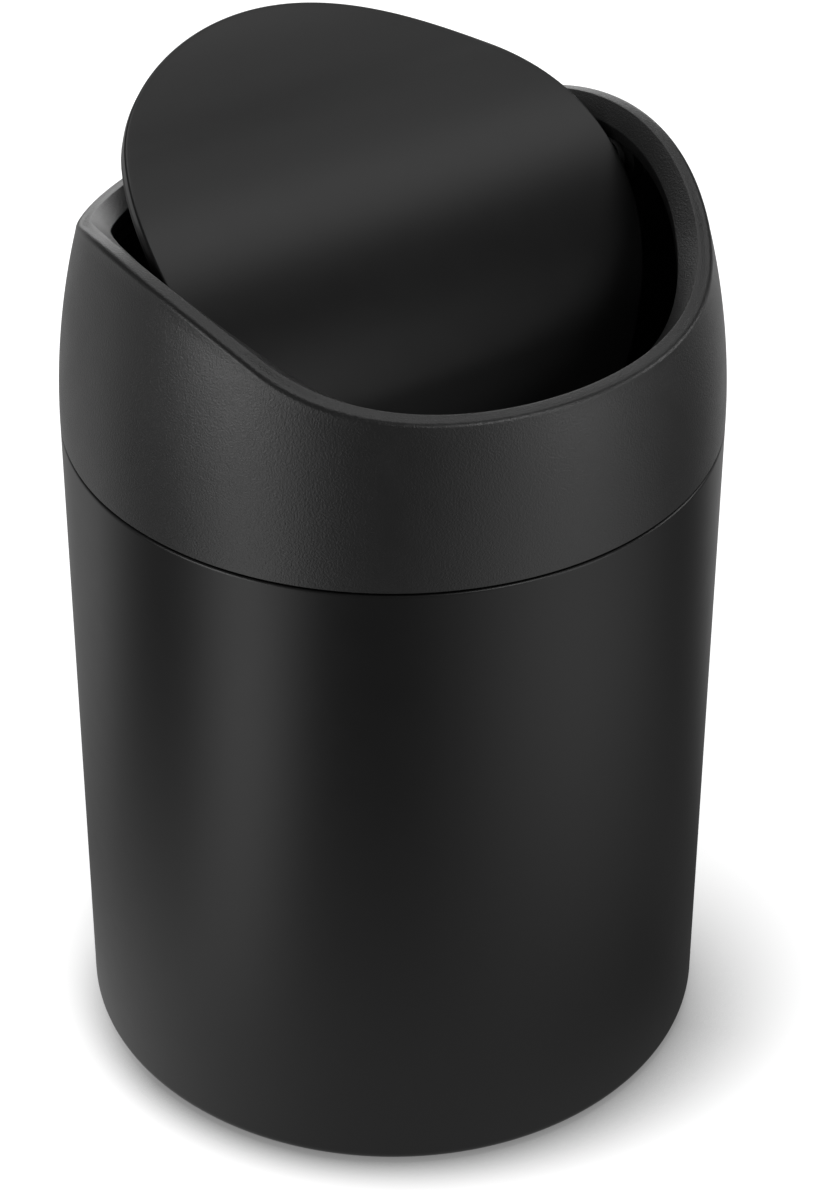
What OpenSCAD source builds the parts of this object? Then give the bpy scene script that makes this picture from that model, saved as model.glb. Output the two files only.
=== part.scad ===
/* [Can] */
// Outer radius of the can
can_r = 60; // [54:0.5:70]
// Height of the can, from the table to the top of its hem
can_h = 131.2; // [100:0.1:170]
// Thickness of the steel sheet
can_wall = 0.6; // [0.5:0.1:0.8]
// Outer radius of the rounded bottom corner
corner_r = 1.2; // [1:0.1:3]
// Height of the fold that doubles the wall at the top
hem_h = 4; // [3:0.5:6]
// Width of the bottom flange, from the outside of the can inward
flange_w = 8; // [6:0.5:12]

/* [Base] */
// Thickness of the base plate
plate_t = 0.8; // [0.6:0.1:1.2]
// Radius of the raised middle of the base plate
dish_r = 40; // [25:1:42]
// Rise of the middle of the base plate
dish_h = 1; // [0.6:0.1:2]
// Inner radius of the foot ring
foot_in = 44; // [43:0.5:46]
// Width of the foot ring
foot_w = 5; // [3:0.5:5]
// How far the foot ring stands below the can
foot_proud = 0.6; // [0.3:0.1:1.5]
// Free space between the foot ring and the bottom flange
foot_gap = 0.5; // [0.3:0.1:1]

/* [Collar] */
// Height of the rim above the can, at the two pivots
rim_rise = 45; // [40:1:55]
// How much lower the rim is at the front and the back
rim_drop = 13.9; // [8:0.1:17]
// Radius of the barrel curve that draws the collar in towards its rim
barrel_r = 143; // [120:1:220]
// Open seam between the can and the collar
seam = 0.3; // [0.3:0.1:1]
// Wall thickness of the collar
collar_wall = 2; // [1.6:0.1:2.5]
// Width of the flat band on top of the rim
band_w = 2.36; // [1.6:0.02:3]
// Radius of the rounded outer edge of the rim
rim_edge = 0.8; // [0.3:0.1:1.2]
// Width of the bevel inside the band, at the pivots
bevel_side = 2.6; // [2:0.1:4]
// Width of the bevel inside the band, at the front and the back
bevel_front = 1.4; // [1:0.1:3]
// Depth of the bevel
bevel_h = 3; // [2:0.1:4]
// Height of the upright lip under the bevel
lip_h = 2.2; // [1.5:0.1:3]
// Distance from the middle to where the rim runs level, less than the can's radius
level_inset = 2; // [0:0.5:4]

/* [Liner] */
// Length of the skirt that goes down into the can
skirt_len = 14; // [10:1:25]
// Thickness of the skirt and the sleeve
liner_t = 1.8; // [1.4:0.1:2.5]
// Free space between the skirt and the hem
skirt_gap = 0.4; // [0.3:0.05:0.6]
// Thickness of the flange that rests on the can
rest_t = 1.2; // [0.8:0.1:2]
// Height of the sleeve above the can
sleeve_h = 21; // [12:1:22]
// Half width of the posts that carry the bushes
post_half = 7; // [5:0.5:9]
// Radius of the round boss on each post
boss_r = 6; // [4.5:0.1:6.5]
// Height of the grip band
grip_h = 2; // [1.5:0.1:2.5]
// Distance from the can's top edge down to the grip band
grip_down = 1.2; // [0.8:0.1:1.5]
// Depth of the groove that holds the grip band
grip_groove = 0.8; // [0.6:0.1:1]

/* [Hinge] */
// Distance from the rim's top down to the pivot axis
pivot_down = 8.5; // [8:0.1:10]
// Radius of the pivot pins
pin_r = 1.25; // [1:0.05:1.4]
// Length of a pin inside the flap's carrier
pin_grip = 11; // [8:0.5:14]
// Wall thickness of the bushes
bush_t = 0.75; // [0.6:0.05:1]
// Radius of the flange on a bush
bush_flange_r = 3.2; // [2.8:0.1:3.6]
// Thickness of the flange on a bush
bush_flange_t = 1.1; // [0.8:0.1:1.3]
// Free space around a pin in its bush
pin_clear = 0.05; // [0.03:0.01:0.08]
// Free space at each end of the flap's carrier
end_play = 0.4; // [0.3:0.05:0.6]

/* [Flap] */
// Depth of the closed flap's crown below the rim's top
crown_down = 4.7; // [4:0.1:5.5]
// Gap between the flap's edge and the lip
flap_gap = 1.2; // [0.9:0.05:2]
// Thickness of the flap's steel skin
skin_t = 0.6; // [0.5:0.1:0.8]
// Depth of the skin's turned-down edge
skin_edge = 1.7; // [1.4:0.1:2.2]
// Thickness of the carrier under the skin
panel_t = 1.2; // [1:0.1:1.6]
// Depth of the carrier's rim below the skin's top
carrier_edge = 3; // [2.8:0.1:4]
// Width of the carrier's rim
carrier_rim = 1.7; // [1.4:0.1:2.5]
// Depth of the spar that holds the pins, below the skin's top
spar_depth = 7.6; // [7:0.1:8.5]
// Half width of the spar
spar_half = 4.6; // [3.5:0.1:6]
// Depth of the stiffening ribs below the skin's top
rib_depth = 4; // [3:0.1:5]
// Thickness of the stiffening ribs
rib_t = 1.2; // [0.8:0.1:1.6]
// Distance between the ribs that run across the spar
rib_pitch = 15; // [10:0.5:15]
// Distance from the spar's middle to the ribs beside it
rib_side = 26; // [18:0.5:30]
// How far the flap is swung open, with its back edge up
open_deg = 36; // [0:1:60]

/* [Hidden] */
$fn = 96;

black_paint = "#2b2b2c";
black_plastic = "#242425";
soft_black = "#1a1a1b";
steel = "#b9bbbd";

// Small clearances between pieces of one assembly
snug = 0.05;
liner_gap = 0.15;
// Width of the bars that bridge the flap's arcs
bridge = 1;

// Levels of the bottom
floor_z = foot_proud + can_wall;
foot_out = min(foot_in + foot_w, can_r - flange_w - foot_gap);

// The rim follows two arcs that meet where the curve turns over
rim_top = can_h + rim_rise;
level_half = can_r - level_inset;
arc_y = level_half / 2;
arc_r = round(1000 * (level_half * level_half + rim_drop * rim_drop) / (4 * rim_drop)) / 1000;
trough_up = 2 * arc_r - rim_drop;
function hump(y) = arc_r - sqrt(arc_r * arc_r - y * y);
function dip(y) = let (t = min(abs(y), level_half))
    t < arc_y ? hump(t) : rim_drop - hump(level_half - t);

// Barrel curve of the collar
collar_z = can_h + seam;
function barrel(z) = can_r - barrel_r + sqrt(barrel_r * barrel_r - pow(max(z - collar_z, 0), 2));
function inner(z) = barrel(z) - collar_wall;

// Mouth and flap, two ellipses seen from above
mouth_x = barrel(rim_top) - band_w - bevel_side;
mouth_y = barrel(rim_top - rim_drop) - band_w - bevel_front;
flap_x = mouth_x - flap_gap;
flap_y = mouth_y - flap_gap;

// Liner
skirt_r = can_r - 2 * can_wall - skirt_gap;
rest_z = can_h + snug;
rest_top = rest_z + rest_t;
rest_r = can_r - 0.7;
sleeve_top = can_h + sleeve_h;
bead_z = rest_top + 2.8;
bead = 0.3;
grip_top = can_h - grip_down;

// Hinge
pivot_z = rim_top - pivot_down;
crown_z = rim_top - crown_down;
bush_r = pin_r + pin_clear + bush_t;
ear_x = flap_x + 0.1;
bush_x = ear_x + end_play;
post_x = bush_x + bush_flange_t;
post_top = rim_top - bevel_h - lip_h - 0.5;
bush_end = inner(pivot_z) - liner_gap - 0.6;
pin_end = bush_end + 0.2;
ear_r = min(spar_half, spar_depth - (pivot_down - crown_down)) - 0.1;

// Section of the flap between two depths, measured square to its curved top: a crest and two troughs
// that meet on the lines between the arcs' centres
module layer_section(d0, d1) {
    intersection() {
        difference() {
            circle(r = arc_r - d0);
            circle(r = arc_r - d1);
        }
        polygon([[0, 0], [level_half, trough_up], [-level_half, trough_up]]);
    }
    for (side = [-1, 1])
        translate([side * level_half, trough_up])
            intersection() {
                difference() {
                    circle(r = arc_r + d1);
                    circle(r = arc_r + d0);
                }
                polygon([[0, 0], [-side * level_half, -trough_up], [0, -trough_up]]);
            }
    // Bars inside the sheet bridge the lines where the arcs meet
    for (side = [-1, 1])
        rotate(-side * atan(level_half / trough_up))
            translate([-bridge / 2, arc_r - d1 + 0.1 * (d1 - d0)])
                square([bridge, 0.8 * (d1 - d0)]);
}

// Layer of the flap between two depths
module layer(d0, d1) {
    translate([0, 0, crown_z - arc_r])
        rotate([90, 0, 90])
            linear_extrude(height = 2 * mouth_x, center = true)
                layer_section(d0, d1);
}

// Upright prism over the flap's outline, drawn in by an inset
module outline(inset) {
    translate([0, 0, crown_z - rim_drop - 2 * spar_depth])
        linear_extrude(height = rim_drop + 3 * spar_depth)
            polygon([for (i = [0 : 119])
                [(flap_x - inset) * cos(3 * i), (flap_y - inset) * sin(3 * i)]]);
}

// Swings the closed flap open about its pivot axis
module swung() {
    translate([0, 0, pivot_z])
        rotate([open_deg, 0, 0])
            translate([0, 0, -pivot_z])
                children();
}

// Rod along the pivot axis on one side, from one distance to another
module pivot_rod(side, x0, x1, r) {
    translate([side > 0 ? x0 : -x1, 0, pivot_z])
        rotate([0, 90, 0])
            cylinder(h = x1 - x0, r = r);
}

// Square with one rounded corner at the outer bottom
module rounded_floor(r, z0, z1, corner) {
    square_w = r - corner;
    translate([0, z0])
        square([square_w, z1 - z0]);
    translate([0, z0 + corner])
        square([r, z1 - z0 - corner]);
    translate([square_w, z0 + corner])
        circle(r = corner);
}

// Steel tube with a turned-in bottom flange and a folded hem
module can_shell() {
    wall_top = can_h - can_wall;
    color(black_paint)
        rotate_extrude() {
            difference() {
                rounded_floor(can_r, foot_proud, wall_top, corner_r);
                rounded_floor(can_r - can_wall, floor_z, can_h, corner_r - can_wall);
                square([can_r - flange_w, can_h]);
            }
            translate([can_r - 2 * can_wall, wall_top - hem_h])
                square([2 * can_wall, hem_h]);
            translate([can_r - can_wall, wall_top])
                intersection() {
                    circle(r = can_wall);
                    translate([-can_wall, 0])
                        square([2 * can_wall, can_wall]);
                }
        }
}

// Pressed disc that lies on the bottom flange
module base_plate() {
    plate_r = can_r - max(corner_r, can_wall + 0.5) - 0.2;
    slope = 1.5 * dish_h;
    color(steel)
        rotate_extrude()
            polygon([[0, floor_z + dish_h], [dish_r, floor_z + dish_h],
                [dish_r + slope, floor_z], [plate_r, floor_z],
                [plate_r, floor_z + plate_t], [dish_r + slope, floor_z + plate_t],
                [dish_r, floor_z + plate_t + dish_h], [0, floor_z + plate_t + dish_h]]);
}

// Non-slip ring under the base plate
module foot_ring() {
    bevel = 0.3;
    color(soft_black)
        rotate_extrude()
            polygon([[foot_in + bevel, 0], [foot_out - bevel, 0],
                [foot_out, bevel], [foot_out, floor_z],
                [foot_in, floor_z], [foot_in, bevel]]);
}

// Rim section of the collar, as radius and height pairs for one direction
function rim_radius(a, n = 8) = n == 0 ? barrel(rim_top - rim_drop)
    : barrel(rim_top - dip(rim_radius(a, n - 1) * sin(a)));
function band_radius(a) = rim_radius(a) - band_w;
function lip_radius(a) = 1 / sqrt(pow(cos(a) / mouth_x, 2) + pow(sin(a) / mouth_y, 2));
function rim_z(r, a) = rim_top - dip(r * sin(a));
function under_z(a) = rim_z(lip_radius(a), a) - bevel_h - lip_h;
outer_steps = 9;
edge_steps = 3;
inner_steps = 6;
groove_half = bead + 0.2;
function section(a) =
    let (top = rim_z(rim_radius(a), a),
        shoulder = top - rim_edge,
        edge_c = barrel(shoulder) - rim_edge,
        band_r = band_radius(a),
        lip = lip_radius(a),
        under = under_z(a),
        groove_top = bead_z + groove_half,
        groove_low = bead_z - groove_half)
    concat(
        [for (i = [0 : outer_steps]) let (z = collar_z + (shoulder - collar_z) * i / outer_steps)
            [barrel(z), z]],
        [for (i = [1 : edge_steps]) let (t = 90 * i / edge_steps)
            [edge_c + rim_edge * cos(t), shoulder + rim_edge * sin(t)]],
        [[band_r, rim_z(band_r, a)],
            [lip, rim_z(lip, a) - bevel_h],
            [lip, under]],
        [for (i = [0 : inner_steps]) let (z = under + (groove_top - under) * i / inner_steps)
            [inner(z), z]],
        [[inner(bead_z) + bead + 0.1, groove_top - 0.2],
            [inner(bead_z) + bead + 0.1, groove_low + 0.2],
            [inner(groove_low), groove_low],
            [inner(rest_top), rest_top],
            [rest_r + 0.12, rest_top],
            [rest_r + 0.12, collar_z]]);

// Moulded collar, one section swept round the mouth
module collar_shell() {
    count = 108;
    rows = [for (i = [0 : count - 1]) let (a = 360 * i / count)
        [for (p = section(a)) [p[0] * cos(a), p[0] * sin(a), p[1]]]];
    n = len(rows[0]);
    points = [for (row = rows) for (p = row) p];
    faces = [for (i = [0 : count - 1]) for (j = [0 : n - 1])
        let (i2 = (i + 1) % count, j2 = (j + 1) % n)
            each [[i * n + j, i * n + j2, i2 * n + j2],
                [i * n + j, i2 * n + j2, i2 * n + j]]];
    color(black_plastic)
        polyhedron(points = points, faces = faces);
}

// Solid that stays clear of the inside of the collar
module liner_bound() {
    steps = 8;
    rotate_extrude()
        polygon(concat([[0, can_h]],
            [for (i = [0 : steps]) let (z = can_h + (post_top - can_h) * i / steps)
                [inner(z) - liner_gap, z]],
            [[0, post_top]]));
}

// Inner moulding, with its skirt, sleeve and two hinge posts
module collar_liner() {
    skirt_in = skirt_r - liner_t;
    skirt_z = can_h - skirt_len;
    steps = 5;
    function sleeve_r(z) = inner(z) - liner_gap;
    color(black_plastic)
        difference() {
            union() {
                rotate_extrude()
                    polygon(concat(
                        [[skirt_in, skirt_z], [skirt_r - 0.8, skirt_z], [skirt_r, skirt_z + 1.5],
                            [skirt_r, grip_top - grip_h], [skirt_r - grip_groove, grip_top - grip_h],
                            [skirt_r - grip_groove, grip_top], [skirt_r, grip_top],
                            [skirt_r, rest_z], [rest_r, rest_z], [rest_r, rest_top],
                            [sleeve_r(rest_top), rest_top],
                            [sleeve_r(bead_z - bead), bead_z - bead],
                            [sleeve_r(bead_z) + bead, bead_z],
                            [sleeve_r(bead_z + bead), bead_z + bead]],
                        [for (i = [1 : steps])
                            let (z = bead_z + bead + (sleeve_top - bead_z - bead) * i / steps)
                                [sleeve_r(z), z]],
                        [for (i = [0 : steps])
                            let (z = sleeve_top + (rest_top - sleeve_top) * i / steps)
                                [sleeve_r(z) - liner_t, z]]));
                for (side = [-1, 1])
                    intersection() {
                        liner_bound();
                        union() {
                            pivot_rod(side, post_x, can_r, boss_r);
                            difference() {
                                translate([side > 0 ? 0 : -can_r, -post_half, sleeve_top - 3])
                                    cube([can_r, 2 * post_half, post_top - sleeve_top + 3]);
                                translate([0, 0, can_h])
                                    cylinder(h = rim_rise, r = sleeve_r(post_top) - liner_t);
                            }
                        }
                    }
            }
            for (side = [-1, 1])
                pivot_rod(side, post_x - 1, can_r, bush_r);
        }
}

// Soft band in the skirt's groove, close to the can's hem
module grip_band() {
    grip_out = skirt_r + skirt_gap - 0.1;
    color(soft_black)
        rotate_extrude()
            translate([skirt_r - grip_groove, grip_top - grip_h])
                square([grip_out - skirt_r + grip_groove, grip_h]);
}

// Flanged bush in a hinge post
module hinge_bush(side) {
    color(black_plastic)
        difference() {
            union() {
                pivot_rod(side, bush_x, post_x, bush_flange_r);
                pivot_rod(side, bush_x, bush_end, bush_r);
            }
            pivot_rod(side, bush_x - 1, bush_end + 1, pin_r + pin_clear);
        }
}

module hinge_bush_left() {
    hinge_bush(-1);
}

module hinge_bush_right() {
    hinge_bush(1);
}

// Steel pin, held in the carrier and turning in its bush
module pivot_pin(side) {
    tip = 0.3;
    color(steel) {
        pivot_rod(side, ear_x - pin_grip, pin_end - tip, pin_r);
        translate([side * (pin_end - tip), 0, pivot_z])
            rotate([0, side * 90, 0])
                cylinder(h = tip, r1 = pin_r, r2 = pin_r - tip);
    }
}

module pivot_pin_left() {
    pivot_pin(-1);
}

module pivot_pin_right() {
    pivot_pin(1);
}

// Curved steel skin of the flap, with its edge turned down
module flap_skin() {
    color(black_paint)
        swung() {
            intersection() {
                layer(0, skin_t);
                outline(0);
            }
            intersection() {
                layer(0, skin_edge);
                difference() {
                    outline(0);
                    outline(skin_t);
                }
            }
        }
}

// Moulded carrier under the skin, with its rim, spar, ribs and ears
module flap_carrier() {
    inside = skin_t + snug;
    groove = 0.25;
    color(black_plastic)
        swung()
            difference() {
                union() {
                    intersection() {
                        layer(skin_t, skin_t + panel_t);
                        outline(inside);
                    }
                    intersection() {
                        layer(skin_t, carrier_edge);
                        difference() {
                            outline(inside);
                            outline(inside + carrier_rim);
                        }
                    }
                    intersection() {
                        layer(skin_edge + groove, carrier_edge);
                        difference() {
                            outline(groove);
                            outline(inside + carrier_rim);
                        }
                    }
                    intersection() {
                        layer(skin_t, spar_depth);
                        outline(inside + carrier_rim / 2);
                        translate([-can_r, -spar_half, can_h])
                            cube([2 * can_r, 2 * spar_half, 2 * rim_rise]);
                    }
                    intersection() {
                        layer(skin_t, rib_depth);
                        outline(inside + carrier_rim / 2);
                        union() {
                            for (i = [-2 : 2])
                                translate([i * rib_pitch - rib_t / 2, -can_r, can_h])
                                    cube([rib_t, 2 * can_r, 2 * rim_rise]);
                            for (side = [-1, 1])
                                translate([-can_r, side * rib_side - rib_t / 2, can_h])
                                    cube([2 * can_r, rib_t, 2 * rim_rise]);
                        }
                    }
                    for (side = [-1, 1])
                        intersection() {
                            layer(skin_edge + groove, spar_depth);
                            pivot_rod(side, flap_x - pin_grip / 2, ear_x, ear_r);
                        }
                }
                for (side = [-1, 1])
                    pivot_rod(side, ear_x - pin_grip, ear_x + 1, pin_r);
            }
}

can_shell();
base_plate();
foot_ring();
collar_shell();
collar_liner();
grip_band();
hinge_bush_left();
hinge_bush_right();
pivot_pin_left();
pivot_pin_right();
flap_skin();
flap_carrier();
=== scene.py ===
# %% [markdown]
# # A countertop trash can with a swing lid
# This lesson dresses a small round bin: a painted steel can, a barrel-shaped plastic collar whose rim rises and
# falls like a saddle, and a curved steel flap that swings in its mouth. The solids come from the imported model,
# called the frame, and keep their places. New surfaces are worked out with numpy in the same place, in metres.

# %% Load the frame
import math

import bmesh
import bpy
import numpy as np
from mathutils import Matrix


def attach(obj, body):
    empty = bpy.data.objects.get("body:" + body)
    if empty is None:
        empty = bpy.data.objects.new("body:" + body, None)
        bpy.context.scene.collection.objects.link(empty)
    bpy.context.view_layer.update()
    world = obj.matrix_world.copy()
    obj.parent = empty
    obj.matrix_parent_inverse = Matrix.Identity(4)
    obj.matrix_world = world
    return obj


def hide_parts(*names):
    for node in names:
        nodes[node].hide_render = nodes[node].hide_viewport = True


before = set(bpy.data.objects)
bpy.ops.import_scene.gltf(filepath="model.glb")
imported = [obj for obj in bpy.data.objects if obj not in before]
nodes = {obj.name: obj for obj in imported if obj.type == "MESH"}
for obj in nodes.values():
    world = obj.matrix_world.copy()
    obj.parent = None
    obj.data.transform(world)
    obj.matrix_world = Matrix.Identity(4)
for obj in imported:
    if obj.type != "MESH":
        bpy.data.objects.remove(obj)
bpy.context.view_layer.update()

# %% [markdown]
# ## The sizes that the pieces share
# The real can is pressed and moulded to a drawing, and so is this one: each size has one name, and every surface
# below is computed from these names. They repeat the values of the part's own source, apart from RIM_EDGE: the
# solid's rim is rounded by 0.8 mm, and the wider rounding here gives the dark line under the photographed band.

# %% Shared sizes
MM, CM3 = 0.001, 1e-6
CAN_R, CAN_H, CAN_WALL, CORNER_R = 60 * MM, 131.2 * MM, 0.6 * MM, 1.2 * MM
HEM_H, FLANGE_W, FOOT_PROUD = 4 * MM, 8 * MM, 0.6 * MM
RIM_TOP, RIM_DROP = CAN_H + 45 * MM, 13.9 * MM
BARREL_R, COLLAR_Z, COLLAR_WALL = 143 * MM, CAN_H + 0.3 * MM, 2 * MM
BAND_W, RIM_EDGE = 2.36 * MM, 1.15 * MM
BEVEL_SIDE, BEVEL_FRONT, BEVEL_H, LIP_H = 2.6 * MM, 1.4 * MM, 3 * MM, 2.2 * MM
LEVEL_HALF = CAN_R - 2 * MM
REST_TOP, REST_R = CAN_H + 1.25 * MM, 59.42 * MM
BEAD_Z, BEAD = REST_TOP + 2.8 * MM, 0.3 * MM
PIVOT_Z, CROWN_Z = RIM_TOP - 8.5 * MM, RIM_TOP - 4.7 * MM
FLAP_GAP, SKIN_T, SKIN_EDGE = 1.2 * MM, 0.6 * MM, 1.7 * MM
OPEN = math.radians(36)
ARC_R = (LEVEL_HALF ** 2 + RIM_DROP ** 2) / (4 * RIM_DROP)
ARC = math.asin(LEVEL_HALF / 2 / ARC_R)
print(f"rim arcs: radius {ARC_R / MM:.1f} mm, {math.degrees(ARC):.1f} degrees each")

# %% [markdown]
# ## One way to make every surface
# A turned or moulded piece is a section carried round an axis. So one helper takes a grid of points, with rows
# that go round and columns along the section, and joins them. It turns the faces outward by the sign of the
# volume that they enclose, which is safer than trusting the order of the points.

# %% Helpers that make meshes
WELD = 1e-7  # points closer than this, in metres, become one


def loft(name, grid, closed=True, sharp=35):
    """Mesh over a grid of points: rows close round the piece, and columns close along the section if closed.
    Points that fall together become one, and a negative volume, the sum of the faces' triple products over
    six, turns all the faces round."""
    n, m = grid.shape[:2]
    i, j = np.meshgrid(np.arange(n), np.arange(m if closed else m - 1), indexing="ij")
    right, up = (i + 1) % n, (j + 1) % m
    quads = np.stack([i * m + j, right * m + j, right * m + up, i * m + up], -1).reshape(-1, 4)
    points = grid.reshape(-1, 3)
    a, b, c, d = (points[quads[:, k]] for k in range(4))
    volume = (np.einsum("ij,ij->i", a, np.cross(b, c)) + np.einsum("ij,ij->i", a, np.cross(c, d))).sum() / 6
    mesh = bpy.data.meshes.new(name)
    mesh.from_pydata(points.tolist(), [], (quads if volume > 0 else quads[:, ::-1]).tolist())
    merged = bmesh.new()
    merged.from_mesh(mesh)
    bmesh.ops.remove_doubles(merged, verts=merged.verts, dist=WELD)
    merged.to_mesh(mesh)
    merged.free()
    mesh.polygons.foreach_set("use_smooth", np.ones(len(mesh.polygons), bool))
    mesh.set_sharp_from_angle(angle=math.radians(sharp))
    piece = bpy.data.objects.new(name, mesh)
    bpy.context.scene.collection.objects.link(piece)
    print(f"{name}: {len(mesh.polygons)} faces, {abs(volume) / CM3:.1f} cm3")
    return piece


def soften(before, corner, after, cut, steps):
    """Rounded corner: a parabola that leaves the line from before at the distance cut ahead of the corner, and
    joins the line to after as far behind it, or at half a line that is too short for that. Works on single
    points and on arrays of points alike."""
    def towards(p):
        along = p - corner
        return corner + along * np.minimum(cut / np.linalg.norm(along, axis=-1, keepdims=True), 0.5)
    start, end = towards(before), towards(after)
    return [(1 - t) ** 2 * start + 2 * t * (1 - t) * corner + t ** 2 * end for t in np.linspace(0, 1, steps)]


def rounded(corners, cuts, steps):
    """Closed section through the corners, (radius, height) pairs, each corner rounded by its own cut."""
    corners = np.array(corners, float)
    section = []
    for k, cut in enumerate(cuts):
        section += ([corners[k]] if cut == 0 else
                    soften(corners[k - 1], corners[k], corners[(k + 1) % len(corners)], cut, steps))
    return np.array(section)


def turned(name, section, count):
    """Surface of revolution: each point (r, z) of the section becomes (r cos a, r sin a, z) for every angle."""
    a = np.arange(count)[:, None] * 2 * np.pi / count
    r, z = section[None, :, 0], section[None, :, 1]
    return loft(name, np.stack([r * np.cos(a), r * np.sin(a), z + 0 * a], -1))


# %% [markdown]
# ## The camera
# The photograph is taken from the front left and from above, with a long lens. The lens, the distance and the
# small shift were found by fitting the ellipses of the base, the seam and the rim.

# %% Camera
YAW, PITCH = math.radians(-34.0), math.radians(35.83)
TARGET = np.array([0, 0, 81.2 * MM])
DISTANCE = 655.6 * MM
SENSOR, LENS = 36, 103.88  # in Blender's millimetres
SHIFT, CLIP = (0.01386, 0.02399), (0.01, 20)
back = np.array([math.sin(YAW) * math.cos(PITCH), -math.cos(YAW) * math.cos(PITCH), math.sin(PITCH)])
camera = bpy.data.objects.new("camera", bpy.data.cameras.new("camera"))
bpy.context.scene.collection.objects.link(camera)
camera.location = TARGET + back * DISTANCE
camera.rotation_euler = (math.pi / 2 - PITCH, 0, YAW)
camera.data.sensor_width, camera.data.lens = SENSOR, LENS
camera.data.shift_x, camera.data.shift_y = SHIFT
camera.data.clip_start, camera.data.clip_end = CLIP
bpy.context.scene.camera = camera
print("camera at", [round(v, 3) for v in camera.location])

# %% [markdown]
# ## Materials
# Two blacks make this object. The can and the flap are painted steel: smooth, satin, with a very fine ripple
# left by the spray. The collar is moulded plastic whose mould was spark-eroded, so it has a fine grain that
# breaks up the light. All patterns read Object coordinates, so they stay on the piece and need no images.

# %% Material helper
CLOUD_SIZE, CLOUD_DETAIL, GRAIN_DETAIL = 6 * MM, 5, 3
TONE_FROM, TONE_TO = 0.3, 0.7


def finish(name, colour, roughness, grain, tone, mottle, metallic=0.0, mirror=0.5, scale=(1, 1, 1)):
    """Principled material. grain lists the layers of relief as (size in m, height in m); mottle is how far the
    roughness wanders from its middle, and tone what share of itself the colour does, both over a few
    millimetres; mirror is the strength of the gloss; scale squeezes the patterns along each axis."""
    material = bpy.data.materials.new(name)
    material.use_nodes = True
    tree = material.node_tree
    shader = tree.nodes["Principled BSDF"]
    shader.inputs["Metallic"].default_value = metallic
    shader.inputs["Specular IOR Level"].default_value = mirror
    place = tree.nodes.new("ShaderNodeTexCoord")
    turn = tree.nodes.new("ShaderNodeMapping")
    turn.inputs["Scale"].default_value = scale
    tree.links.new(place.outputs["Object"], turn.inputs["Vector"])
    cloud = tree.nodes.new("ShaderNodeTexNoise")
    cloud.inputs["Scale"].default_value = 1 / CLOUD_SIZE
    cloud.inputs["Detail"].default_value = CLOUD_DETAIL
    tree.links.new(turn.outputs["Vector"], cloud.inputs["Vector"])
    wander = tree.nodes.new("ShaderNodeMapRange")
    wander.inputs["To Min"].default_value = roughness - mottle
    wander.inputs["To Max"].default_value = roughness + mottle
    tree.links.new(cloud.outputs["Fac"], wander.inputs["Value"])
    tree.links.new(wander.outputs["Result"], shader.inputs["Roughness"])
    ramp = tree.nodes.new("ShaderNodeValToRGB")
    for stop, position, share in zip(ramp.color_ramp.elements, (TONE_FROM, TONE_TO), (1 - tone, 1 + tone)):
        stop.position = position
        stop.color = (*(c * share for c in colour), 1)
    tree.links.new(cloud.outputs["Fac"], ramp.inputs["Fac"])
    tree.links.new(ramp.outputs["Color"], shader.inputs["Base Color"])
    last = None
    for size, height in grain:
        relief = tree.nodes.new("ShaderNodeTexNoise")
        relief.inputs["Scale"].default_value = 1 / size
        relief.inputs["Detail"].default_value = GRAIN_DETAIL
        tree.links.new(turn.outputs["Vector"], relief.inputs["Vector"])
        bump = tree.nodes.new("ShaderNodeBump")
        bump.inputs["Strength"].default_value = 1.0
        bump.inputs["Distance"].default_value = height
        tree.links.new(relief.outputs["Fac"], bump.inputs["Height"])
        if last:
            tree.links.new(last.outputs["Normal"], bump.inputs["Normal"])
        last = bump
    tree.links.new(last.outputs["Normal"], shader.inputs["Normal"])
    print(f"{name}: roughness {roughness}, {len(grain)} layers of relief")
    return material


def paint(piece, material):
    """Gives a piece one material in its first slot."""
    piece.data.materials.clear()
    piece.data.materials.append(material)


# %% The finishes
satin_paint = finish("satin_black_paint", (0.003, 0.003, 0.0031), 0.34,
                     grain=[(1.2 * MM, 0.006 * MM)], tone=0.05, mottle=0.02)
grained_plastic = finish("grained_black_plastic", (0.0055, 0.0055, 0.0056), 0.37,
                         grain=[(0.36 * MM, 0.072 * MM), (0.17 * MM, 0.025 * MM)],
                         tone=0.10, mottle=0.04, mirror=0.75)
inner_plastic = finish("inner_black_plastic", (0.0025, 0.0025, 0.0026), 0.5,
                       grain=[(0.25 * MM, 0.012 * MM)], tone=0.08, mottle=0.04)
soft_rubber = finish("soft_black_rubber", (0.012, 0.012, 0.012), 0.78,
                     grain=[(0.15 * MM, 0.01 * MM)], tone=0.1, mottle=0.05)
zinc_steel = finish("zinc_coated_steel", (0.42, 0.43, 0.44), 0.38,
                    grain=[(2.5 * MM, 0.01 * MM)], tone=0.12, mottle=0.08, metallic=1.0)
pin_steel = finish("ground_pin_steel", (0.56, 0.57, 0.58), 0.25,
                   grain=[(0.2 * MM, 0.002 * MM)], tone=0.05, mottle=0.05, metallic=1.0, scale=(8, 1, 1))
bush_plastic = finish("smooth_bush_plastic", (0.010, 0.010, 0.010), 0.4,
                      grain=[(0.3 * MM, 0.004 * MM)], tone=0.05, mottle=0.03)

# %% [markdown]
# ## The can
# A can is drawn or rolled from sheet: one wall, a small radius at the foot, and an edge folded over at the
# top so that it can't cut. The section is walked once round the sheet and turned about the axis.

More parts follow.
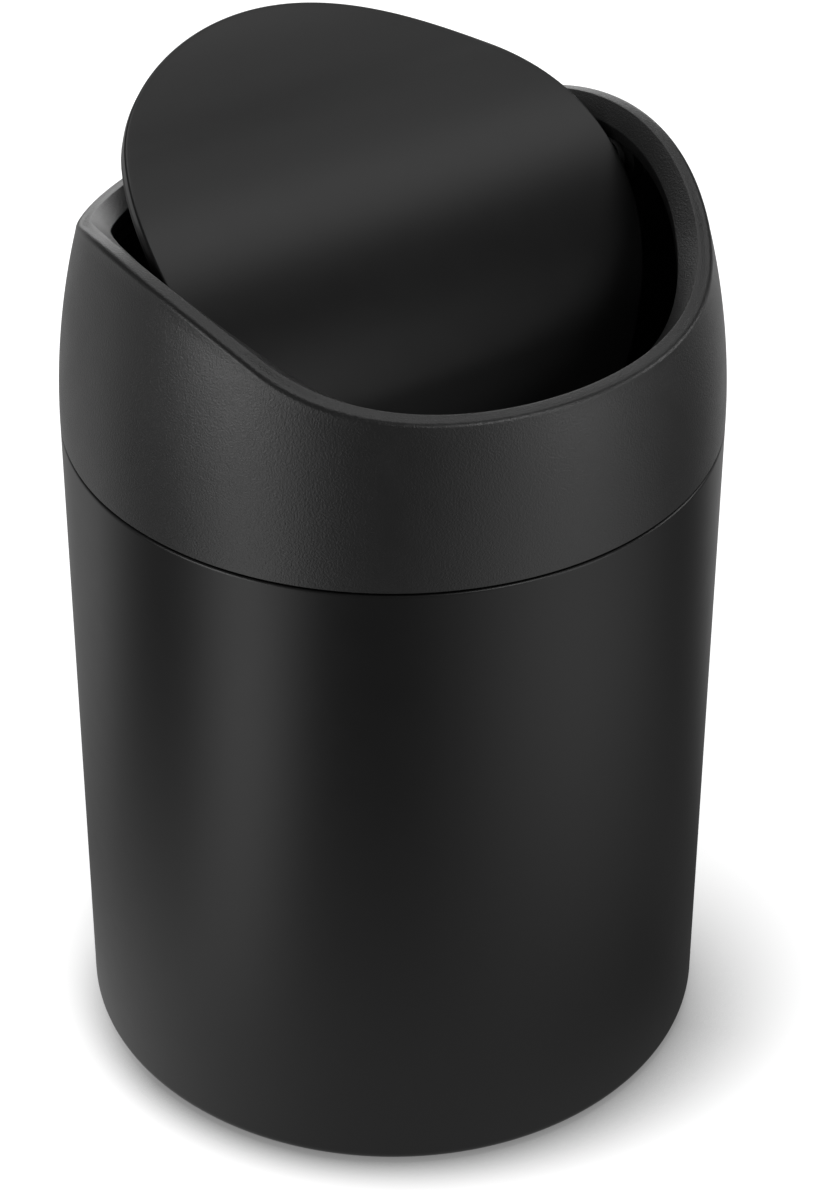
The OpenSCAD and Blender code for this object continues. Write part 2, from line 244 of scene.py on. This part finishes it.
# %% The can's body
CUT_PER_RADIUS = 1.6  # a parabola cut this far from a square corner passes for an arc of radius 1
HEM_OUT_CUT, HEM_IN_CUT, FOLD_CUT, EDGE_CUT = 0.75 * MM, 0.55 * MM, 0.2 * MM, 0.1 * MM
CAN_SIDES, CAN_CORNER_STEPS = 384, 12
wall_top, floor_top = CAN_H - CAN_WALL, FOOT_PROUD + CAN_WALL
inner_r, hem_r, flange_r = CAN_R - CAN_WALL, CAN_R - 2 * CAN_WALL, CAN_R - FLANGE_W
can_section = rounded(
    [(flange_r, FOOT_PROUD), (CAN_R, FOOT_PROUD), (CAN_R, CAN_H), (hem_r, CAN_H),
     (hem_r, wall_top - HEM_H), (inner_r, wall_top - HEM_H), (inner_r, floor_top), (flange_r, floor_top)],
    [EDGE_CUT, CUT_PER_RADIUS * CORNER_R, HEM_OUT_CUT, HEM_IN_CUT,
     FOLD_CUT, EDGE_CUT, CUT_PER_RADIUS * (CORNER_R - CAN_WALL), EDGE_CUT],
    CAN_CORNER_STEPS)
can_body = turned("can_body", can_section, CAN_SIDES)
paint(can_body, satin_paint)
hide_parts("can_shell")
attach(can_body, "can")

# %% [markdown]
# ## The collar
# The collar is the piece that takes the most care. Seen from the side its rim is level at the front and the
# back and rises in two arcs to the pivots. Seen from above the outside is round, drawn in like a barrel, and
# the mouth is an ellipse. A section is worked out for each direction: wall, rounded edge, flat band, bevel,
# lip, and back down the inside. Carried round, it gives a band of even width on a rim that rises and falls.

# %% The collar's curves
def barrel(z):
    """Outer radius at a height: an arc of radius BARREL_R that leaves the can's radius upright at the seam."""
    return CAN_R - BARREL_R + np.sqrt(BARREL_R ** 2 - np.maximum(z - COLLAR_Z, 0) ** 2)


def dip(y):
    """How far the rim has fallen at the distance y from the pivot axis: one arc down, then one arc that levels."""
    t = np.minimum(np.abs(y), LEVEL_HALF)
    crest = ARC_R - np.sqrt(ARC_R ** 2 - np.minimum(t, LEVEL_HALF / 2) ** 2)
    trough = ARC_R - np.sqrt(ARC_R ** 2 - np.minimum(LEVEL_HALF - t, LEVEL_HALF / 2) ** 2)
    return np.where(t < LEVEL_HALF / 2, crest, RIM_DROP - trough)


def rim_height(r, a):
    """Height of the rim's surface at radius r in direction a."""
    return RIM_TOP - dip(r * np.sin(a))


MOUTH_X = barrel(RIM_TOP) - BAND_W - BEVEL_SIDE
MOUTH_Y = barrel(RIM_TOP - RIM_DROP) - BAND_W - BEVEL_FRONT
print(f"mouth {2 * MOUTH_X / MM:.1f} x {2 * MOUTH_Y / MM:.1f} mm")


# %% The collar's section, carried round
FOOT_CUT, BAND_CUT, LIP_CUT = 0.25 * MM, 0.12 * MM, 0.2 * MM
GROOVE_CLEAR, GROOVE_SLOPE = 0.1 * MM, 0.2 * MM
BAND_COLUMNS = (0.3, 0.6)


def collar_grid(count=720, rounds=12, wall_steps=26, edge_steps=8, inside_steps=14):
    """Points of the collar: for each direction the rim's radius is found by repeating r = barrel(height(r)),
    and the section's columns follow, as (radius, height) pairs in that direction."""
    a = np.arange(count) * 2 * np.pi / count
    rim_r = np.full(count, barrel(RIM_TOP - RIM_DROP))
    for _ in range(rounds):
        rim_r = barrel(rim_height(rim_r, a))
    shoulder = rim_height(rim_r, a) - RIM_EDGE
    centre = barrel(shoulder) - RIM_EDGE
    band_r = rim_r - BAND_W
    lip_r = 1 / np.sqrt((np.cos(a) / MOUTH_X) ** 2 + (np.sin(a) / MOUTH_Y) ** 2)
    lip_top = rim_height(lip_r, a) - BEVEL_H
    under = lip_top - LIP_H
    pair = lambda r, z: np.stack([r + 0 * a, z + 0 * a], -1)
    band_out, band_in = pair(centre, shoulder + RIM_EDGE), pair(band_r, rim_height(band_r, a))
    lip_high, lip_low = pair(lip_r, lip_top), pair(lip_r, under)
    inner_top = pair(barrel(under) - COLLAR_WALL, under)
    foot = COLLAR_Z + FOOT_CUT
    columns = [pair(barrel(z), z) for z in (foot + (shoulder - foot) * t
                                            for t in np.linspace(0, 1, wall_steps))]
    columns += [pair(centre + RIM_EDGE * math.cos(t), shoulder + RIM_EDGE * math.sin(t))
                for t in np.linspace(0, math.pi / 2, edge_steps)[1:]]
    columns += [band_out + (band_in - band_out) * t for t in BAND_COLUMNS]
    columns += soften(band_out, band_in, lip_high, BAND_CUT, steps=3)
    columns += soften(band_in, lip_high, lip_low, LIP_CUT, steps=4)
    columns += soften(lip_high, lip_low, inner_top, LIP_CUT, steps=4)
    groove_r, groove_half = barrel(BEAD_Z) - COLLAR_WALL + BEAD + GROOVE_CLEAR, BEAD + GROOVE_SLOPE
    columns += [pair(barrel(z) - COLLAR_WALL, z) for z in (under + (BEAD_Z + groove_half - under) * t
                                                           for t in np.linspace(0, 1, inside_steps))]
    for r, z in ((groove_r, BEAD_Z + groove_half - GROOVE_SLOPE),
                 (groove_r, BEAD_Z - groove_half + GROOVE_SLOPE),
                 (barrel(BEAD_Z) - COLLAR_WALL, BEAD_Z - groove_half),
                 (barrel(REST_TOP) - COLLAR_WALL, REST_TOP),
                 (REST_R, REST_TOP), (REST_R, COLLAR_Z), (CAN_R - FOOT_CUT, COLLAR_Z)):
        columns.append(pair(r, z))
    section = np.stack(columns, 1)
    r, z = section[..., 0], section[..., 1]
    return np.stack([r * np.cos(a)[:, None], r * np.sin(a)[:, None], z], -1)


collar = loft("collar", collar_grid())
paint(collar, grained_plastic)
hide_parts("collar_shell")
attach(collar, "lid")

# %% [markdown]
# ## The flap
# The flap's face is one sheet of steel with the same rise and fall as the rim, cut to an ellipse, its edge
# turned down over a moulded back. It could be a flat disc bent by a modifier, but the curve is two exact arcs,
# so the surface is computed straight away: at any depth below the face, the arcs keep their centres and only
# their radii change. Then every point is swung about the pivot axis to the open angle.

# %% The flap's steel face
def layer_height(y, depth):
    """Height of the closed flap at y, on the surface that lies the given depth under its face."""
    t = np.abs(y)
    crest = CROWN_Z - ARC_R + np.sqrt(np.maximum((ARC_R - depth) ** 2 - t ** 2, 0))
    trough = CROWN_Z - RIM_DROP + ARC_R - np.sqrt((ARC_R + depth) ** 2 - (LEVEL_HALF - t) ** 2)
    return np.where(t < (ARC_R - depth) * math.sin(ARC), crest, trough)


def swing(points):
    """Turns points about the pivot axis, from the closed flap to the open one."""
    x, y, z = points[..., 0], points[..., 1], points[..., 2] - PIVOT_Z
    return np.stack([x, y * math.cos(OPEN) - z * math.sin(OPEN),
                     PIVOT_Z + y * math.sin(OPEN) + z * math.cos(OPEN)], -1)


def flap_sheet(columns, count=480):
    """Swung points for columns of (share of the way out, inset, depth): x and y are on the ellipse whose half
    axes are the flap's less the inset, times the share, and z is the flap's curve at that depth."""
    a = np.arange(count)[:, None] * 2 * np.pi / count
    share, inset, depth = (np.array(c)[None, :] for c in zip(*columns))
    x = share * (MOUTH_X - FLAP_GAP - inset) * np.cos(a)
    y = share * (MOUTH_Y - FLAP_GAP - inset) * np.sin(a)
    return swing(np.stack([x, y, layer_height(y, depth)], -1))


EDGE_R, HEM_CUT = 0.45 * MM, 0.15 * MM
FACE_STEPS, TURN_STEPS, BACK_STEPS = 72, 7, 36
skin_columns = [(s, EDGE_R, 0.0) for s in np.linspace(0, 1, FACE_STEPS)]
skin_columns += [(1, EDGE_R * (1 - math.sin(t)), EDGE_R * (1 - math.cos(t)))
                 for t in np.linspace(0, math.pi / 2, TURN_STEPS)[1:]]
skin_columns += [(1, 0, SKIN_EDGE - HEM_CUT), (1, HEM_CUT, SKIN_EDGE), (1, SKIN_T, SKIN_EDGE)]
skin_columns += [(1, SKIN_T, SKIN_T)] + [(s, SKIN_T, SKIN_T) for s in np.linspace(1, 0, BACK_STEPS)[1:]]
flap_face = loft("flap_face", flap_sheet(skin_columns), closed=False)
paint(flap_face, satin_paint)
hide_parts("flap_skin")
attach(flap_face, "flap")

# %% [markdown]
# ## The pieces that stay as they are
# The liner, the flap's back, the bushes, pins, plate and rings have the right shape already. They keep their
# meshes and get their finishes.

# %% Finishes of the carried-over solids
for node, material in (("collar_liner", inner_plastic), ("flap_carrier", inner_plastic),
                       ("base_plate", zinc_steel), ("foot_ring", soft_rubber), ("grip_band", soft_rubber),
                       ("hinge_bush_left", bush_plastic), ("hinge_bush_right", bush_plastic),
                       ("pivot_pin_left", pin_steel), ("pivot_pin_right", pin_steel)):
    paint(nodes[node], material)
    print(node, "gets", material.name)

# %% [markdown]
# ## Floor and light
# The picture is a catalogue shot: white all round, with a soft shadow that hugs the foot. The black paint mirrors
# something darker, because a white room in a mirror would turn black paint grey: soft light reaches in from the
# left and the right, with a darker place between them where the camera stands. One could set up big cards and
# flags and hide them from the camera. Light Path does it with less: each kind of ray is told how bright the
# floor and the world are. So gloss does not see the white backdrop here, and the strengths below were solved
# against the brightness of the photograph. The fans of light in the gloss are painted light that glows in the
# floor, and the shadow at the foot is a painted shadow in the floor's colour and glow.

# %% Helpers for the light
def number(tree, operation, *values):
    """Math node on numbers or on other nodes' outputs; gives its own output."""
    node = tree.nodes.new("ShaderNodeMath")
    node.operation = operation
    for socket, value in zip(node.inputs, values):
        if isinstance(value, (int, float)):
            socket.default_value = value
        else:
            tree.links.new(value, socket)
    return node.outputs[0]


def remap(tree, value, low, high, to_low, to_high, smooth=False):
    """Map Range node: the value from low..high goes to to_low..to_high, and stays inside them."""
    node = tree.nodes.new("ShaderNodeMapRange")
    node.interpolation_type = "SMOOTHSTEP" if smooth else "LINEAR"
    for socket, setting in zip(("From Min", "From Max", "To Min", "To Max"), (low, high, to_low, to_high)):
        node.inputs[socket].default_value = setting
    tree.links.new(value, node.inputs["Value"])
    return node.outputs["Result"]


# %% The world: white for the camera, dim in the gloss, a plain fill for the rest
BACKDROP, IN_GLOSS, FILL = 1.0, 0.1, 0.85
world = bpy.data.worlds.new("studio")
bpy.context.scene.world = world
world.use_nodes = True
tree = world.node_tree
rays = tree.nodes.new("ShaderNodeLightPath").outputs
seen = number(tree, "MAXIMUM", rays["Is Camera Ray"], rays["Is Transmission Ray"])
strength = number(tree, "ADD", number(tree, "MULTIPLY", seen, BACKDROP - FILL),
                  number(tree, "MULTIPLY_ADD", rays["Is Glossy Ray"], IN_GLOSS - FILL, FILL))
tree.nodes["Background"].inputs["Color"].default_value = (1, 1, 1, 1)
tree.links.new(strength, tree.nodes["Background"].inputs["Strength"])
print(f"world: {BACKDROP} for the camera, {IN_GLOSS} in the gloss, {FILL} elsewhere")

# %% The floor's sheet
HALF = 3.0
floor_mesh = bpy.data.meshes.new("floor")
floor_mesh.from_pydata([(-HALF, -HALF, 0), (HALF, -HALF, 0), (HALF, HALF, 0), (-HALF, HALF, 0)], [],
                       [(0, 1, 2, 3)])
floor = bpy.data.objects.new("floor", floor_mesh)
bpy.context.scene.collection.objects.link(floor)
print(f"floor: {2 * HALF:.0f} m square")

# %% Where on the floor: the direction from the bin, and how near it is
NEAR, FAR = 0.085, 0.21
floor_material = bpy.data.materials.new("pale_floor")
floor_material.use_nodes = True
tree = floor_material.node_tree
rays = tree.nodes.new("ShaderNodeLightPath").outputs
place = tree.nodes.new("ShaderNodeTexCoord").outputs["Object"]
split = tree.nodes.new("ShaderNodeSeparateXYZ")
tree.links.new(place, split.inputs[0])
azimuth = number(tree, "ARCTAN2", split.outputs["X"], number(tree, "MULTIPLY", split.outputs["Y"], -1))
length = tree.nodes.new("ShaderNodeVectorMath")
length.operation = "LENGTH"
tree.links.new(place, length.inputs[0])
outer = remap(tree, length.outputs["Value"], NEAR, FAR, 0, 1)
inner = number(tree, "SUBTRACT", 1, outer)
print(f"floor light goes from near to far between {NEAR} and {FAR} m")

# %% What the gloss sees on the floor: soft fans of painted light
FANS_NEAR = [(-49, 100, 0.39), (30, 50, 0.17), (150, 45, 0.3), (-150, 40, 0.35)]
FANS_FAR = [(-110, 30, 0.47), (-44, 24, 1.2), (52, 53, 0.64), (145, 32, 0.5), (-148, 32, 0.42)]


def fans(rows):
    """Painted light by direction, glowing in the floor for the gloss: each row is a smooth hump, given as its
    middle and half width in degrees, from the direction in which the photograph was taken, and its strength."""
    total = None
    for middle, half, strength in rows:
        aside = number(tree, "WRAP", number(tree, "SUBTRACT", azimuth, YAW + math.radians(middle)),
                       math.pi, -math.pi)
        hump = remap(tree, number(tree, "ABSOLUTE", aside), 0, math.radians(half), strength, 0, True)
        total = hump if total is None else number(tree, "ADD", total, hump)
    return total


# painted light: fans that glow in the floor, seen by glossy rays only
painted_fan_light = number(tree, "ADD", number(tree, "MULTIPLY", inner, fans(FANS_NEAR)),
                  number(tree, "MULTIPLY", outer, fans(FANS_FAR)))
painted_fan_light = number(tree, "ADD", painted_fan_light, IN_GLOSS)
print(f"{len(FANS_NEAR)} fans near the bin, {len(FANS_FAR)} farther out")

# %% The painted shadow at the foot: occlusion, darkest in front and longest on the right
OCCLUSION_SAMPLES, OCCLUSION_FULL = 16, 0.5
DARKEST_AT, LONGEST_AT = math.radians(10), math.radians(95)
REACH_SHORT, REACH_MORE, REACH_POWER = 8 * MM, 28 * MM, 5
TURN_FROM, TURN_TO, DARK_BEHIND, DARK_FRONT = -0.25, 0.5, -0.2, -0.7
corner = tree.nodes.new("ShaderNodeAmbientOcclusion")
corner.samples = OCCLUSION_SAMPLES
facing = number(tree, "COSINE", number(tree, "SUBTRACT", azimuth, YAW + DARKEST_AT))
sideways = number(tree, "COSINE", number(tree, "SUBTRACT", azimuth, YAW + LONGEST_AT))
reach = number(tree, "POWER", remap(tree, sideways, -1, 1, 0, 1), REACH_POWER)
tree.links.new(number(tree, "MULTIPLY_ADD", reach, REACH_MORE, REACH_SHORT), corner.inputs["Distance"])
hidden = remap(tree, corner.outputs["AO"], OCCLUSION_FULL, 1, 1, 0)
# painted shadow: darkens the floor's colour and its glow near the foot, more to one side
painted_foot_shadow = number(tree, "ADD", number(tree, "MULTIPLY", hidden,
                                       remap(tree, facing, TURN_FROM, TURN_TO, DARK_BEHIND, DARK_FRONT)), 1)
print(f"shadow reaches {REACH_SHORT / MM:.0f} to {(REACH_SHORT + REACH_MORE) / MM:.0f} mm")

# %% The floor's material: pale with the painted shadow, lifted to white for the camera, and the painted fans for the gloss
FLOOR_WHITE, FLOOR_ROUGH, LIFT = 0.8, 0.9, 0.6
lit = tree.nodes["Principled BSDF"]
lit.inputs["Roughness"].default_value = FLOOR_ROUGH
lit.inputs["Specular IOR Level"].default_value = 0.0
shade = tree.nodes.new("ShaderNodeCombineColor")
for channel in ("Red", "Green", "Blue"):
    tree.links.new(number(tree, "MULTIPLY", painted_foot_shadow, FLOOR_WHITE), shade.inputs[channel])
tree.links.new(shade.outputs["Color"], lit.inputs["Base Color"])
lit.inputs["Emission Color"].default_value = (1, 1, 1, 1)
# the camera's glow is darkened by the painted shadow too
tree.links.new(number(tree, "MULTIPLY", painted_foot_shadow, number(tree, "MULTIPLY", rays["Is Camera Ray"], LIFT)),
               lit.inputs["Emission Strength"])
# the painted light glows in the floor's material; it is no lamp
painted_light_glow = tree.nodes.new("ShaderNodeEmission")
tree.links.new(painted_fan_light, painted_light_glow.inputs["Strength"])
choose = tree.nodes.new("ShaderNodeMixShader")
tree.links.new(rays["Is Glossy Ray"], choose.inputs["Fac"])
tree.links.new(lit.outputs["BSDF"], choose.inputs[1])
tree.links.new(painted_light_glow.outputs["Emission"], choose.inputs[2])
tree.links.new(choose.outputs["Shader"], tree.nodes["Material Output"].inputs["Surface"])
paint(floor, floor_material)
print("floor material has", len(tree.nodes), "nodes")


# %% The lamps: soft boxes that only the gloss sees
LAMP_AWAY = 1.0
SOFTBOXES = [  # name, azimuth from the photograph's, elevation, watts, side in m
    ("left_box", -60, 12, 1.2, 0.34), ("left_low_box", -50, 4, 0.75, 0.34),
    ("right_low_box", 60, 4, 0.83, 0.34), ("far_right_box", 100, 12, 1.12, 0.34),
    ("right_high_box", 40, 32, 1.65, 0.34), ("top_box", 140, 66, 0.96, 0.75),
    ("top_right_box", 120, 54, 0.26, 0.34), ("overhead_box", 120, 76, 0.33, 0.34),
    ("back_left_box", -150, 54, 0.83, 0.5), ("rear_box", 180, 12, 2.5, 0.7)]
for name, turn, height, power, size in SOFTBOXES:
    lamp = bpy.data.lights.new(name, "AREA")
    lamp.shape, lamp.size, lamp.energy = "SQUARE", size, power
    holder = bpy.data.objects.new(name, lamp)
    a, e = YAW + math.radians(turn), math.radians(height)
    direction = np.array([math.sin(a) * math.cos(e), -math.cos(a) * math.cos(e), math.sin(e)])
    holder.location = TARGET + direction * LAMP_AWAY
    holder.rotation_euler = (math.pi / 2 - e, 0, a)
    holder.visible_diffuse = False
    bpy.context.scene.collection.objects.link(holder)
    print(f"{name}: {power} W, {size} m")

# %% The view transform, and the end
bpy.context.scene.view_settings.view_transform = "Standard"
